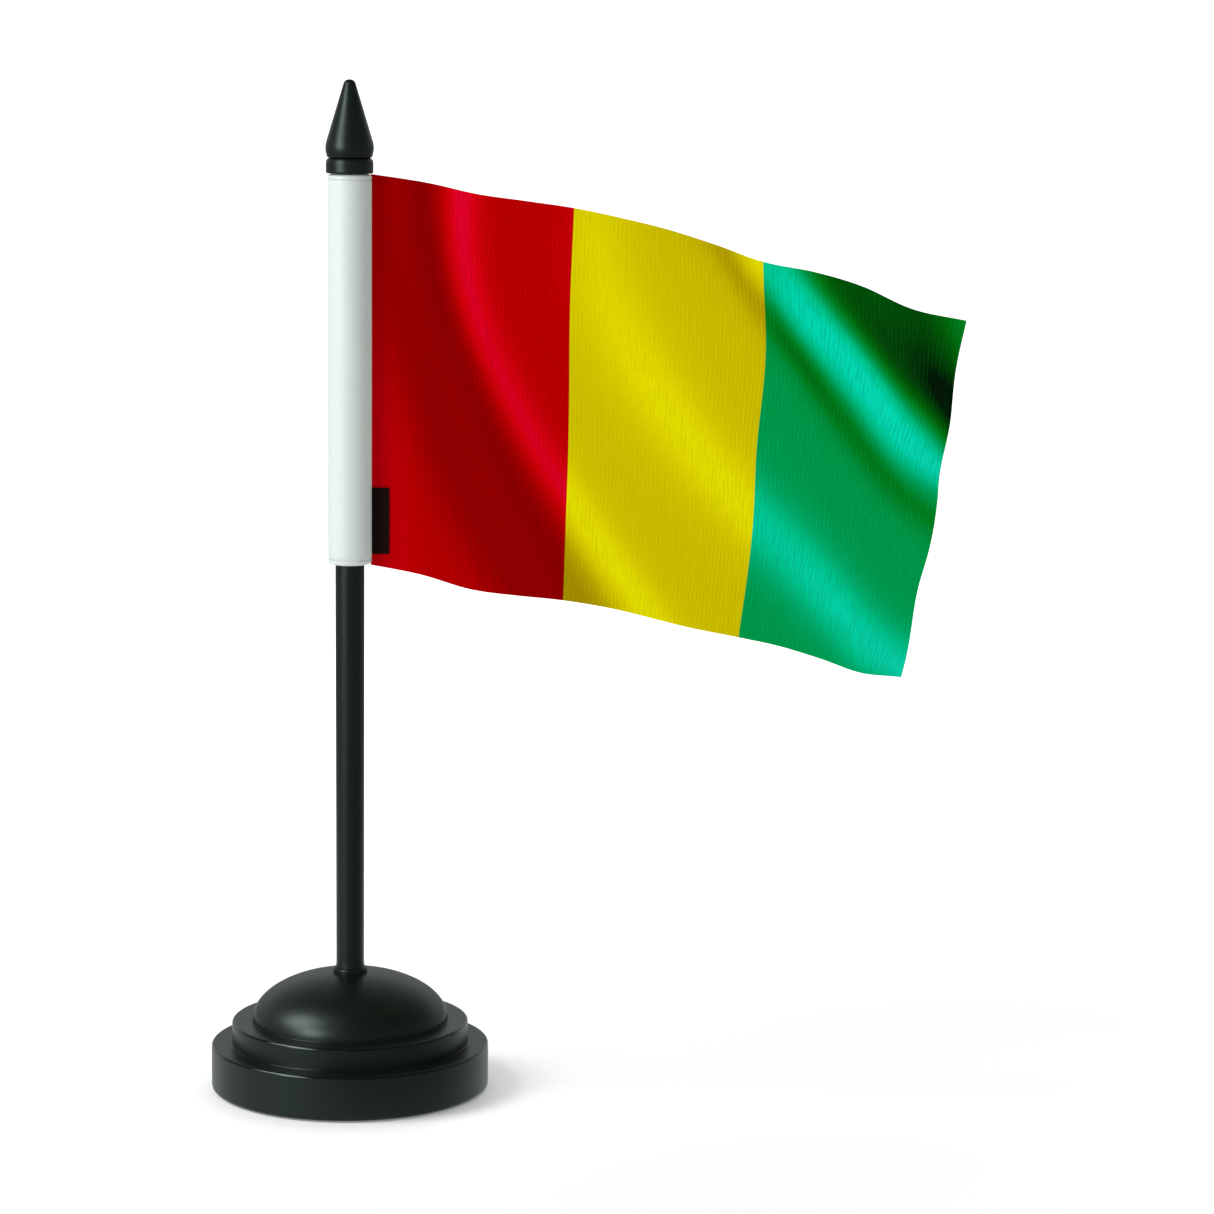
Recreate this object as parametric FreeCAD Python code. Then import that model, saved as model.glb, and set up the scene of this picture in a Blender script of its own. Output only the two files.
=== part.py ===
"""Desk flag stand: a weighted round base, a push-in pole and a small three-band flag on a sleeve.

Millimetres, +Z up.  The origin is the centre of the pad's underside, where the stand rests.
The flag streams towards +X, and its front faces -Y.
"""
import FreeCAD, Part
import math
import os

from FreeCAD import Vector

# Moulded base shell: a low drum, a smaller drum on it, and a dome on top.
BASE_D = 72.5
TIER_1_H = 11.7
TIER_1_LEDGE = 5.35
TIER_2_H = 6.0
TIER_2_LEDGE = 5.3
DOME_H = 12.95
SHELL_WALL = 2.0
RIM_ROUND = 0.7
FOOT_ROUND = 1.0
TIER_COVE = 0.12
DOME_COVE = 0.12
RIB_COUNT = 6
RIB_T = 1.6

# Foam pad, cover plate and screws that close the base from below.
PAD_T = 1.2
PAD_MARGIN = 1.5
SHELL_LIFT = 0.3
COVER_T = 2.0
COVER_CLEARANCE = 0.2
SCREW_COUNT = 3
SCREW_D = 2.2
SCREW_PILOT_D = 1.9
SCREW_HOLE_D = 2.6
SCREW_HEAD_D = 4.6
SCREW_HEAD_H = 1.3
SCREW_HEAD_CLEARANCE = 0.2
SCREW_THREAD_L = 5.2
SCREW_TIP_CLEARANCE = 0.4
SCREW_SLOT_W = 0.7
SCREW_SLOT_L = 2.6
SCREW_SLOT_DEPTH = 0.7
BOSS_D = 5.0
BOSS_WALL_GAP = 0.5

# Steel ring that keeps the stand upright.
BALLAST_H = 9.0
BALLAST_GAP = 0.2
BALLAST_EDGE = 0.6

# Socket bush: it turns in the hub of the base, and its rim shows round the foot of the pole.
BUSH_WALL = 1.15
BUSH_RIM_LEDGE = 0.65
BUSH_RIM_H = 1.4
BUSH_RIM_ROUND = 0.6
BUSH_FLOOR = 1.2
BUSH_SEAT_DEPTH = 0.3
HUB_WALL = 2.2
HUB_COVER_GAP = 2.0
RUNNING_GAP = 0.05

# Pole: a tapered tube with a plug in each end.
POLE_TOP_D = 7.5
POLE_FOOT_D = 7.2
POLE_FLARE = 0.12
POLE_FLARE_H = 1.5
POLE_BORE_D = 4.4
POLE_FREE_H = 106.5
POLE_STRAIGHT_LEAD = 6.0
PLUG_L = 12.0
FOOT_SPIGOT_D = 5.2
TOP_SPIGOT_D = 4.0
TOP_SPIGOT_L = 12.0
SPIGOT_ROUND = 0.4

# Sleeve that carries the flag: a stiff tube with a closed top, wrapped in cloth.
SLEEVE_L = 100.0
SLEEVE_D = 11.3
SLEEVE_BORE_GAP = 0.08
SLEEVE_WEB = 2.0
SLEEVE_RIM = 1.2
SLEEVE_ROUND = 0.9
SLEEVE_CLOTH_T = 0.3

# Finial: a spear point pressed into a collar, pushed on to the pole's top plug.
FINIAL_GAP = 0.15
COLLAR_H = 4.0
COLLAR_D = 12.1
COLLAR_ROUND = 1.2
COLLAR_FOOT_ROUND = 0.45
TENON_WALL = 1.35
SPEAR_H = 19.7
SPEAR_D = 12.8
SPEAR_TUCK = 0.7
SPEAR_FOOT_ROUND = 0.4
SPEAR_BELLY_H = 2.6
SPEAR_BELLY_ROUND = 6.0
SPEAR_TIP_D = 2.5
SPEAR_TIP_ROUND = 1.45

# Cloth: cut 160 long and as high as the sleeve.  Its hems and seams hang through these places, at even
# steps: drops of the top hem below the hoist's corner, extra drops of the foot hem, and reaches from
# the hoist of the two colour seams and the fly hem on the way down.
CLOTH_T = 0.3
CLOTH_SET_BACK = 1.5
CLOTH_CUT_L = 160.0
TOP_HEM_DROPS = (0, 2.1, 4.9, 6.6, 8.3, 10.7, 13.6, 17.4, 21.7, 24.1, 28.0, 34.1, 37.2)
FOOT_HEM_DROPS = (0.5, 3.1, 6.9, 8.8, 10.4, 12.7, 15.3, 17.9, 20.1, 22.5, 25.8, 29.4, 30.1)
SEAM_1_REACHES = (51.7, 50.9, 50.9, 50.6, 49.8)
SEAM_2_REACHES = (100.5, 101.3, 99.2, 98.7, 95.9)
FLY_REACHES = (155.0, 152.0, 149.7, 147.2, 146.9, 144.8, 141.6, 139.9, 138.6)

# Folds: each crosses the cloth on a line that starts that far from the hoist at the top hem, then
# leans and bends towards the fly.  Its half width and steepest slope are given at the top and the foot.
FOLDS = (
    # start, lean, bend, half width at top, at foot, slope at top, at foot
    (1.0, 0.06, 0.0034, 8.7, 10.0, -0.18, -0.17),
    (12.0, 0.16, 0.0031, 4.4, 9.8, -0.20, -0.21),
    (22.7, 0.0, 0.0057, 4.3, 7.5, 0.29, 0.26),
    (59.0, 0.0, 0.0107, 8.6, 15.0, 0.10, 0.37),
    (96.0, 0.67, 0.0088, 5.5, 6.2, -0.15, -0.10),
    (108.0, 0.0, 0.0144, 4.7, 5.0, -0.11, 0.02),
    (109.2, 0.71, 0.0130, 9.4, 9.0, 0.57, 0.31),
    (123.0, 1.16, 0.0172, 20.9, 6.1, -0.33, -0.24),
    (148.3, 0.56, -0.0020, 9.7, 2.4, -0.21, -0.10),
)
BAND_COUNT = 3
GRID_ALONG = 17
GRID_DOWN = 29

# Blank woven label in the seam beside the sleeve.
LABEL_W = 4.4
LABEL_H = 17.2
LABEL_T = 0.35
LABEL_RISE = 2.4
LABEL_GAP = 0.08
LABEL_CORNER = 0.4

# Heights and radii that follow from the sizes above.
BASE_R = BASE_D / 2
TIER_2_R = BASE_R - TIER_1_LEDGE
DOME_R = TIER_2_R - TIER_2_LEDGE
TIER_1_TOP = SHELL_LIFT + TIER_1_H
TIER_2_TOP = TIER_1_TOP + TIER_2_H
DOME_TOP = TIER_2_TOP + DOME_H
INNER_R = BASE_R - SHELL_WALL
COVER_TOP = PAD_T + COVER_T
COVER_R = INNER_R - COVER_CLEARANCE
BOSS_RADIUS = INNER_R - BOSS_WALL_GAP - BOSS_D / 2
SCREW_HEAD_TOP = PAD_T + SCREW_HEAD_H
SCREW_TIP = COVER_TOP + SCREW_THREAD_L
BALLAST_R = min(BOSS_RADIUS - BOSS_D / 2, TIER_2_R - SHELL_WALL) - BALLAST_GAP * 3
BALLAST_BOTTOM = COVER_TOP + BALLAST_GAP
BALLAST_TOP = BALLAST_BOTTOM + BALLAST_H
BUSH_BORE_R = FOOT_SPIGOT_D / 2 + RUNNING_GAP
BUSH_R = BUSH_BORE_R + BUSH_WALL
BUSH_RIM_R = BUSH_R + BUSH_RIM_LEDGE
HUB_BORE_R = BUSH_R + RUNNING_GAP
HUB_R = HUB_BORE_R + HUB_WALL
HUB_BOTTOM = COVER_TOP + HUB_COVER_GAP
BUSH_SEAT = DOME_TOP - BUSH_SEAT_DEPTH
BUSH_TOP = BUSH_SEAT + BUSH_RIM_H
BUSH_BOTTOM = HUB_BOTTOM + RUNNING_GAP * 4
SPIGOT_BOTTOM = BUSH_BOTTOM + BUSH_FLOOR + RUNNING_GAP * 4
SLEEVE_BOTTOM = BUSH_TOP + POLE_FREE_H
SLEEVE_TOP = SLEEVE_BOTTOM + SLEEVE_L
POLE_TOP = SLEEVE_TOP - SLEEVE_WEB
SPIGOT_TOP = SLEEVE_TOP + TOP_SPIGOT_L
FINIAL_BOTTOM = SLEEVE_TOP + FINIAL_GAP
COLLAR_TOP = FINIAL_BOTTOM + COLLAR_H
TOP_SPIGOT_BORE_R = TOP_SPIGOT_D / 2 + RUNNING_GAP
TENON_R = TOP_SPIGOT_BORE_R + TENON_WALL
CLOTH_START = SLEEVE_D / 2


def rounded_wire(corners):
    """Closed wire in the XZ plane through (radius, height, rounding) corners, with tangent arcs."""
    points = [Vector(radius, 0, height) for radius, height, rounding in corners]
    count = len(points)
    edges = []
    previous_end = None
    first_start = None
    for index in range(count):
        corner = points[index]
        to_last = (points[index - 1] - corner).normalize()
        to_next = (points[(index + 1) % count] - corner).normalize()
        rounding = corners[index][2]
        half = to_last.getAngle(to_next) / 2
        start = corner
        end = corner
        if rounding > 0:
            trim = rounding / math.tan(half)
            start = corner + to_last * trim
            end = corner + to_next * trim
        if previous_end is None:
            first_start = start
        elif (start - previous_end).Length > 1e-5:
            edges.append(Part.LineSegment(previous_end, start).toShape())
        if rounding > 0:
            bisector = (to_last + to_next).normalize()
            middle = corner + bisector * (rounding / math.sin(half) - rounding)
            edges.append(Part.Arc(start, middle, end).toShape())
        previous_end = end
    if (first_start - previous_end).Length > 1e-5:
        edges.append(Part.LineSegment(previous_end, first_start).toShape())
    return Part.Wire(edges)


def turned(corners):
    """Solid of revolution about Z from a closed (radius, height, rounding) outline."""
    face = Part.Face(rounded_wire(corners))
    return face.revolve(Vector(0, 0, 0), Vector(0, 0, 1), 360)


def cylinder(radius, bottom, top, x=0.0, y=0.0):
    """Upright cylinder between two heights."""
    return Part.makeCylinder(radius, top - bottom, Vector(x, y, bottom))


def ring(outer_radius, inner_radius, bottom, top):
    """Upright tube between two heights."""
    return cylinder(outer_radius, bottom, top).cut(cylinder(inner_radius, bottom, top))


def around(count, radius, start_angle=0.0):
    """Evenly spaced places on a circle, as (x, y) pairs."""
    step = 2 * math.pi / count
    return [(radius * math.cos(start_angle + step * i), radius * math.sin(start_angle + step * i))
            for i in range(count)]


def tiered_body(inset, bottom, rim, foot, tier_cove, dome_cove):
    """The base's stepped and domed outline, moved inwards by inset and turned into a solid."""
    drum_top = TIER_1_TOP - inset
    step_top = TIER_2_TOP - inset
    drums = turned([
        (0, bottom, 0),
        (BASE_R - inset, bottom, foot),
        (BASE_R - inset, drum_top, rim),
        (TIER_2_R - inset, drum_top, tier_cove),
        (TIER_2_R - inset, step_top, rim),
        (DOME_R - inset, step_top, dome_cove),
        (DOME_R - inset, step_top + DOME_COVE, 0),
        (0, step_top + DOME_COVE, 0),
    ])
    return drums.fuse(dome(DOME_R - inset, step_top + DOME_COVE, DOME_TOP - inset)).removeSplitter()


def dome(radius, foot, top):
    """Half of a flattened ball with its foot at one height and its crown at another."""
    centre = Vector(0, 0, foot)
    rise = top - foot
    curve = Part.Ellipse(Vector(radius, 0, foot), Vector(0, 0, top), centre)
    arc = Part.ArcOfEllipse(curve, 0, math.pi / 2).toShape()
    axis = Part.LineSegment(Vector(0, 0, foot + rise), centre).toShape()
    floor = Part.LineSegment(centre, Vector(radius, 0, foot)).toShape()
    face = Part.Face(Part.Wire([arc, axis, floor]))
    return face.revolve(Vector(0, 0, 0), Vector(0, 0, 1), 360)


def base_shell():
    """Hollow moulding with a hub for the bush, ribs over the ballast and screw bosses."""
    outside = tiered_body(0, SHELL_LIFT, RIM_ROUND, FOOT_ROUND, TIER_COVE, DOME_COVE)
    inside = tiered_body(SHELL_WALL, SHELL_LIFT, 0, 0, 0, 0)
    middle = tiered_body(SHELL_WALL / 2, SHELL_LIFT, 0, 0, 0, 0)
    stiffening = cylinder(HUB_R, HUB_BOTTOM, DOME_TOP)
    rib_bottom = BALLAST_TOP + BALLAST_GAP
    for index in range(RIB_COUNT):
        rib = Part.makeBox(BASE_R, RIB_T, DOME_TOP - rib_bottom, Vector(0, -RIB_T / 2, rib_bottom))
        rib.rotate(Vector(0, 0, 0), Vector(0, 0, 1), 360 / RIB_COUNT * index)
        stiffening = stiffening.fuse(rib)
    for x, y in around(SCREW_COUNT, BOSS_RADIUS, math.pi / 6):
        stiffening = stiffening.fuse(cylinder(BOSS_D / 2, COVER_TOP, TIER_1_TOP, x, y))
    shell = outside.cut(inside).fuse(stiffening.common(middle)).removeSplitter()
    for x, y in around(SCREW_COUNT, BOSS_RADIUS, math.pi / 6):
        shell = shell.cut(cylinder(SCREW_PILOT_D / 2, SHELL_LIFT, SCREW_TIP + SCREW_TIP_CLEARANCE, x, y))
    shell = shell.cut(cylinder(HUB_BORE_R, 0, DOME_TOP + 1))
    return shell.cut(cylinder(BUSH_RIM_R + RUNNING_GAP, BUSH_SEAT, DOME_TOP + 1))


def ballast_weight():
    """Steel ring round the hub, with broken edges."""
    hole = HUB_R + BALLAST_GAP * 2
    return turned([
        (hole, BALLAST_BOTTOM, BALLAST_EDGE),
        (BALLAST_R, BALLAST_BOTTOM, BALLAST_EDGE),
        (BALLAST_R, BALLAST_TOP, BALLAST_EDGE),
        (hole, BALLAST_TOP, BALLAST_EDGE),
    ])


def base_cover():
    """Plate that closes the shell from below, with recesses for the screw heads."""
    plate = cylinder(COVER_R, PAD_T, COVER_TOP)
    for x, y in around(SCREW_COUNT, BOSS_RADIUS, math.pi / 6):
        plate = plate.cut(cylinder(SCREW_HOLE_D / 2, PAD_T, COVER_TOP, x, y))
        recess = cylinder(SCREW_HEAD_D / 2 + SCREW_HEAD_CLEARANCE, PAD_T, SCREW_HEAD_TOP, x, y)
        plate = plate.cut(recess)
    return plate


def cover_screw(x, y):
    """Pan-head screw with a cross recess, head down."""
    head = cylinder(SCREW_HEAD_D / 2, PAD_T, SCREW_HEAD_TOP, x, y)
    shank = cylinder(SCREW_D / 2, SCREW_HEAD_TOP, SCREW_TIP, x, y)
    screw = head.fuse(shank).removeSplitter()
    for length, width in ((SCREW_SLOT_L, SCREW_SLOT_W), (SCREW_SLOT_W, SCREW_SLOT_L)):
        corner = Vector(x - length / 2, y - width / 2, PAD_T)
        screw = screw.cut(Part.makeBox(length, width, SCREW_SLOT_DEPTH, corner))
    return screw


def cover_screws():
    """The screws that hold the cover plate, as separate solids."""
    return Part.makeCompound([cover_screw(x, y) for x, y in around(SCREW_COUNT, BOSS_RADIUS, math.pi / 6)])


def foam_pad():
    """Foam disc under the cover plate; the stand rests on it."""
    return cylinder(COVER_R - PAD_MARGIN, 0, PAD_T)


def pole_bush():
    """Cup with a rounded rim: the barrel runs in the hub and the rim sits in the dome's seat."""
    return turned([
        (0, BUSH_BOTTOM, 0),
        (BUSH_R, BUSH_BOTTOM, SPIGOT_ROUND),
        (BUSH_R, BUSH_SEAT, 0),
        (BUSH_RIM_R, BUSH_SEAT, 0),
        (BUSH_RIM_R, BUSH_TOP, BUSH_RIM_ROUND),
        (BUSH_BORE_R, BUSH_TOP, 0),
        (BUSH_BORE_R, BUSH_BOTTOM + BUSH_FLOOR, 0),
        (0, BUSH_BOTTOM + BUSH_FLOOR, 0),
    ])


def pole_tube():
    """Tube that flares at its foot, tapers up to the sleeve and is straight inside it."""
    foot_r = POLE_FOOT_D / 2
    top_r = POLE_TOP_D / 2
    bore_r = POLE_BORE_D / 2
    return turned([
        (bore_r, BUSH_TOP, 0),
        (foot_r + POLE_FLARE, BUSH_TOP, 0),
        (foot_r, BUSH_TOP + POLE_FLARE_H, POLE_FLARE_H),
        (top_r, SLEEVE_BOTTOM - POLE_STRAIGHT_LEAD, 0),
        (top_r, POLE_TOP, 0),
        (bore_r, POLE_TOP, 0),
    ])


def pole_foot_plug():
    """Stepped pin in the foot of the tube; its spigot slides in the bush."""
    return turned([
        (0, SPIGOT_BOTTOM, 0),
        (FOOT_SPIGOT_D / 2, SPIGOT_BOTTOM, SPIGOT_ROUND),
        (FOOT_SPIGOT_D / 2, BUSH_TOP, 0),
        (POLE_BORE_D / 2, BUSH_TOP, 0),
        (POLE_BORE_D / 2, BUSH_TOP + PLUG_L, SPIGOT_ROUND),
        (0, BUSH_TOP + PLUG_L, 0),
    ])


def pole_top_plug():
    """Stepped pin in the top of the tube; the sleeve turns on it and the finial pushes on to it."""
    return turned([
        (0, POLE_TOP - PLUG_L, 0),
        (POLE_BORE_D / 2, POLE_TOP - PLUG_L, SPIGOT_ROUND),
        (POLE_BORE_D / 2, POLE_TOP, 0),
        (TOP_SPIGOT_D / 2, POLE_TOP, 0),
        (TOP_SPIGOT_D / 2, SPIGOT_TOP, SPIGOT_ROUND),
        (0, SPIGOT_TOP, 0),
    ])


def sleeve_tube():
    """Stiff tube on the pole, closed at the top, with a shallow rebate for its cloth wrap."""
    outer = SLEEVE_D / 2
    wrapped = outer - SLEEVE_CLOTH_T
    bore = POLE_TOP_D / 2 + SLEEVE_BORE_GAP
    return turned([
        (bore, SLEEVE_BOTTOM, 0),
        (outer, SLEEVE_BOTTOM, SLEEVE_ROUND),
        (outer, SLEEVE_BOTTOM + SLEEVE_RIM, 0),
        (wrapped, SLEEVE_BOTTOM + SLEEVE_RIM, 0),
        (wrapped, SLEEVE_TOP - SLEEVE_RIM, 0),
        (outer, SLEEVE_TOP - SLEEVE_RIM, 0),
        (outer, SLEEVE_TOP, SLEEVE_ROUND),
        (TOP_SPIGOT_BORE_R, SLEEVE_TOP, 0),
        (TOP_SPIGOT_BORE_R, POLE_TOP, 0),
        (bore, POLE_TOP, 0),
    ])


def sleeve_wrap():
    """Cloth pocket of the flag, drawn tight over the stiff tube between its rims."""
    outer = SLEEVE_D / 2
    return ring(outer, outer - SLEEVE_CLOTH_T, SLEEVE_BOTTOM + SLEEVE_RIM, SLEEVE_TOP - SLEEVE_RIM)


def finial_collar():
    """Collar with rounded edges, bored for the spear's tenon."""
    return turned([
        (TENON_R, FINIAL_BOTTOM, 0),
        (COLLAR_D / 2, FINIAL_BOTTOM, COLLAR_FOOT_ROUND),
        (COLLAR_D / 2, COLLAR_TOP, COLLAR_ROUND),
        (TENON_R, COLLAR_TOP, 0),
    ])


def finial_spear():
    """Spear point with a tenon for the collar and a bore for the pole's top plug."""
    tip = COLLAR_TOP + SPEAR_H
    return turned([
        (TOP_SPIGOT_BORE_R, FINIAL_BOTTOM, 0),
        (TENON_R, FINIAL_BOTTOM, 0),
        (TENON_R, COLLAR_TOP, 0),
        (SPEAR_D / 2 - SPEAR_TUCK, COLLAR_TOP, SPEAR_FOOT_ROUND),
        (SPEAR_D / 2, COLLAR_TOP + SPEAR_BELLY_H, SPEAR_BELLY_ROUND),
        (SPEAR_TIP_D / 2, tip, SPEAR_TIP_ROUND),
        (0, tip, 0),
        (0, SPIGOT_TOP, 0),
        (TOP_SPIGOT_BORE_R, SPIGOT_TOP, 0),
    ])


def smooth_curve(values, share):
    """Smooth curve through values at even steps, read at a fraction of its length."""
    padded = (2 * values[0] - values[1],) + tuple(values) + (2 * values[-1] - values[-2],)
    step = min(int(share * (len(values) - 1)), len(values) - 2)
    rest = share * (len(values) - 1) - step
    before, first, last, after = padded[step:step + 4]
    lean = (last - before) / 2
    bend = before - 2.5 * first + 2 * last - after / 2
    twist = 1.5 * (first - last) + (after - before) / 2
    return first + rest * (lean + rest * (bend + rest * twist))


def fold_rise(travel, fall):
    """Sum of the folds: how far they bring the cloth forward, from any one starting level."""
    rise = 0
    for start, lean, bend, top_w, foot_w, top_slope, foot_slope in FOLDS:
        width = top_w + (foot_w - top_w) * fall / SLEEVE_L
        slope = top_slope + (foot_slope - top_slope) * fall / SLEEVE_L
        line = start + lean * fall + bend * fall ** 2
        rise += slope * width * math.tanh((travel - line) / width)
    return rise


def cloth_depth(along, down):
    """How far a place on the cloth stands behind the pole's axis; the hoist is straight."""
    fall = SLEEVE_L * down
    return CLOTH_SET_BACK - fold_rise(CLOTH_CUT_L * along, fall) + fold_rise(0, fall)


def cloth_point(along, down):
    """Place on the cloth for fractions along the flag and down its height."""
    seam_1, seam_2, fly = (smooth_curve(line, down) for line in (SEAM_1_REACHES, SEAM_2_REACHES, FLY_REACHES))
    thirds = 3 * along
    x = CLOTH_START + thirds * (thirds - 2) * (thirds - 3) / 2 * seam_1
    x -= thirds * (thirds - 1) * (thirds - 3) / 2 * seam_2
    x += thirds * (thirds - 1) * (thirds - 2) / 6 * fly
    top = SLEEVE_TOP - smooth_curve(TOP_HEM_DROPS, along)
    foot = SLEEVE_BOTTOM - smooth_curve(FOOT_HEM_DROPS, along)
    return Vector(x, cloth_depth(along, down), top + (foot - top) * down)


def flag_band(index):
    """One colour band of the cloth, counted from the sleeve."""
    rows = []
    for i in range(GRID_ALONG):
        along = (index + i / (GRID_ALONG - 1)) / BAND_COUNT
        rows.append([cloth_point(along, j / (GRID_DOWN - 1)) for j in range(GRID_DOWN)])
    surface = Part.BSplineSurface()
    surface.interpolate(rows)
    return surface.toShape().extrude(Vector(0, CLOTH_T, 0))


def side_label():
    """Blank folded label, caught in the seam beside the sleeve and lying on the red band."""
    bottom = SLEEVE_BOTTOM + LABEL_RISE
    reach = (LABEL_GAP + LABEL_W) / CLOTH_CUT_L
    down = [(SLEEVE_TOP - bottom - LABEL_H * share) / SLEEVE_L for share in (0, 0.5, 1)]
    back = min(cloth_depth(along, place) for along in (0, reach / 2, reach) for place in down) - LABEL_GAP
    front = back - LABEL_T
    start = CLOTH_START + LABEL_GAP
    plate = Part.makeBox(LABEL_W, LABEL_T, LABEL_H, Vector(start, front, bottom))
    corners = [edge for edge in plate.Edges
               if edge.Length < LABEL_T * 1.01 and edge.CenterOfMass.x > start + LABEL_W / 2]
    return plate.makeFillet(LABEL_CORNER, corners)


NODES = {
    "base_shell": base_shell(),
    "ballast_weight": ballast_weight(),
    "base_cover": base_cover(),
    "cover_screws": cover_screws(),
    "foam_pad": foam_pad(),
    "pole_bush": pole_bush(),
    "pole_tube": pole_tube(),
    "pole_foot_plug": pole_foot_plug(),
    "pole_top_plug": pole_top_plug(),
    "sleeve_tube": sleeve_tube(),
    "sleeve_wrap": sleeve_wrap(),
    "flag_band_red": flag_band(0),
    "flag_band_yellow": flag_band(1),
    "flag_band_green": flag_band(2),
    "side_label": side_label(),
    "finial_collar": finial_collar(),
    "finial_spear": finial_spear(),
}

os.makedirs("parts", exist_ok=True)
for node, shape in NODES.items():
    shape.exportStep("parts/" + node + ".step")
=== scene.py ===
"""Looks of the desk flag stand: satin cloth, moulded plastic, studio floor, lights and camera."""

import math
from collections import namedtuple

import bmesh
import bpy
import numpy as np
from mathutils import Matrix, Vector


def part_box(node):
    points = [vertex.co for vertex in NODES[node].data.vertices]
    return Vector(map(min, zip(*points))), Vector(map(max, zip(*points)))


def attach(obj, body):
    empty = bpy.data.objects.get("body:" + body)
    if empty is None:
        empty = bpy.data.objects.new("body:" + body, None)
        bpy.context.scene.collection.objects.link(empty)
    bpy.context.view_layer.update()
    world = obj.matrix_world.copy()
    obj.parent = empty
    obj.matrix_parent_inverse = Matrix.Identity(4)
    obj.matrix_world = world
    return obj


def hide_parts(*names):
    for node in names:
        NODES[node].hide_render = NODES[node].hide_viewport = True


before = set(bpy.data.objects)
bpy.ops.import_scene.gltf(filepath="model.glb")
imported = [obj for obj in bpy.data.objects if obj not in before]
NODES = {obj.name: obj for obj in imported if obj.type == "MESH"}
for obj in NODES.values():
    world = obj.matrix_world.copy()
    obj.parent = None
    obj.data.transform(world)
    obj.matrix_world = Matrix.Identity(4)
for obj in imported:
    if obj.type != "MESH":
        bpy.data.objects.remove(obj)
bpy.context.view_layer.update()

MM = 0.001


# ---------------------------------------------------------------- camera

CAMERA_PLACE = Vector((5.8, -952.0, 266.9)) * MM
CAMERA_YAW = math.radians(3.655)
CAMERA_PITCH = math.radians(8.328)
CAMERA_ROLL = math.radians(0.537)
CAMERA_LENS = 110.05
CAMERA_SENSOR = 36.0


def make_camera():
    """Long lens in front of the stand, a little above it and turned a little to the right."""
    forward = Vector((
        math.sin(CAMERA_YAW) * math.cos(CAMERA_PITCH),
        math.cos(CAMERA_YAW) * math.cos(CAMERA_PITCH),
        -math.sin(CAMERA_PITCH),
    ))
    level_right = Vector((math.cos(CAMERA_YAW), -math.sin(CAMERA_YAW), 0))
    level_up = level_right.cross(forward)
    right = level_right * math.cos(CAMERA_ROLL) + level_up * math.sin(CAMERA_ROLL)
    up = level_up * math.cos(CAMERA_ROLL) - level_right * math.sin(CAMERA_ROLL)
    data = bpy.data.cameras.new("studio_camera")
    data.lens = CAMERA_LENS
    data.sensor_width = CAMERA_SENSOR
    data.clip_start = 0.02
    data.clip_end = 20
    camera = bpy.data.objects.new("studio_camera", data)
    turn = Matrix((right, up, -forward)).transposed().to_4x4()
    camera.matrix_world = Matrix.Translation(CAMERA_PLACE) @ turn
    bpy.context.scene.collection.objects.link(camera)
    bpy.context.scene.camera = camera


make_camera()


# ---------------------------------------------------------------- node helpers

def new_material(name):
    """Material with an empty tree and its output."""
    material = bpy.data.materials.new(name)
    material.use_nodes = True
    tree = material.node_tree
    tree.nodes.clear()
    tree.nodes.new("ShaderNodeOutputMaterial")
    return material, tree


def node(tree, kind, **values):
    """New node; plain words set its properties, and names with a leading capital set its inputs."""
    made = tree.nodes.new("ShaderNode" + kind)
    for name, value in values.items():
        if name[0].isupper():
            made.inputs[name.replace("_", " ")].default_value = value
        else:
            setattr(made, name, value)
    return made


def join(tree, source, target):
    """Wire from an output to an input, each given as (node, socket)."""
    tree.links.new(source[0].outputs[source[1]], target[0].inputs[target[1]])


def maths(tree, operation, first, second=None):
    """Math node; each side is a number or a (node, socket) output, and some operations take one side."""
    made = node(tree, "Math", operation=operation)
    for index, side in enumerate((first, second)):
        if isinstance(side, tuple):
            join(tree, side, (made, index))
        elif side is not None:
            made.inputs[index].default_value = side
    return made, 0


def mix_colour(tree, share, first, second):
    """Colour mix; share and both colours are values or (node, socket) outputs."""
    made = node(tree, "Mix", data_type="RGBA")
    for index, side in ((0, share), (6, first), (7, second)):
        if isinstance(side, tuple) and isinstance(side[0], bpy.types.Node):
            join(tree, side, (made, index))
        else:
            made.inputs[index].default_value = side
    return made, 2


def new_group(name, inputs, outputs):
    """Shader node group with named sockets; returns the tree and its input and output nodes."""
    tree = bpy.data.node_groups.new(name, "ShaderNodeTree")
    for label, kind, value in inputs:
        socket = tree.interface.new_socket(label, in_out="INPUT", socket_type="NodeSocket" + kind)
        socket.default_value = value
    for label, kind in outputs:
        tree.interface.new_socket(label, in_out="OUTPUT", socket_type="NodeSocket" + kind)
    return tree, tree.nodes.new("NodeGroupInput"), tree.nodes.new("NodeGroupOutput")


def place_group(tree, group, **values):
    """The group as a node in a material, with its own input values."""
    made = tree.nodes.new("ShaderNodeGroup")
    made.node_tree = group
    for name, value in values.items():
        made.inputs[name.replace("_", " ")].default_value = value
    return made


def graded(tree, source, start, end, first=0.0, last=1.0, course="SMOOTHSTEP"):
    """Change from a first value to a last one while a source goes from start to end."""
    made = node(tree, "MapRange", interpolation_type=course)
    for label, value in (("From Min", start), ("From Max", end), ("To Min", first), ("To Max", last)):
        made.inputs[label].default_value = value
    join(tree, source, (made, "Value"))
    return made, "Result"


def split(tree, source):
    """Node that gives the X, Y and Z of a vector output."""
    made = node(tree, "SeparateXYZ")
    join(tree, source, (made, 0))
    return made


def stretched(tree, parts, x_scale, y_scale):
    """Vector of a place's X and Y, each times its own number."""
    made = node(tree, "CombineXYZ")
    for axis, scale in (("X", x_scale), ("Y", y_scale)):
        join(tree, maths(tree, "MULTIPLY", (parts, axis), scale), (made, axis))
    return made, "Vector"


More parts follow.
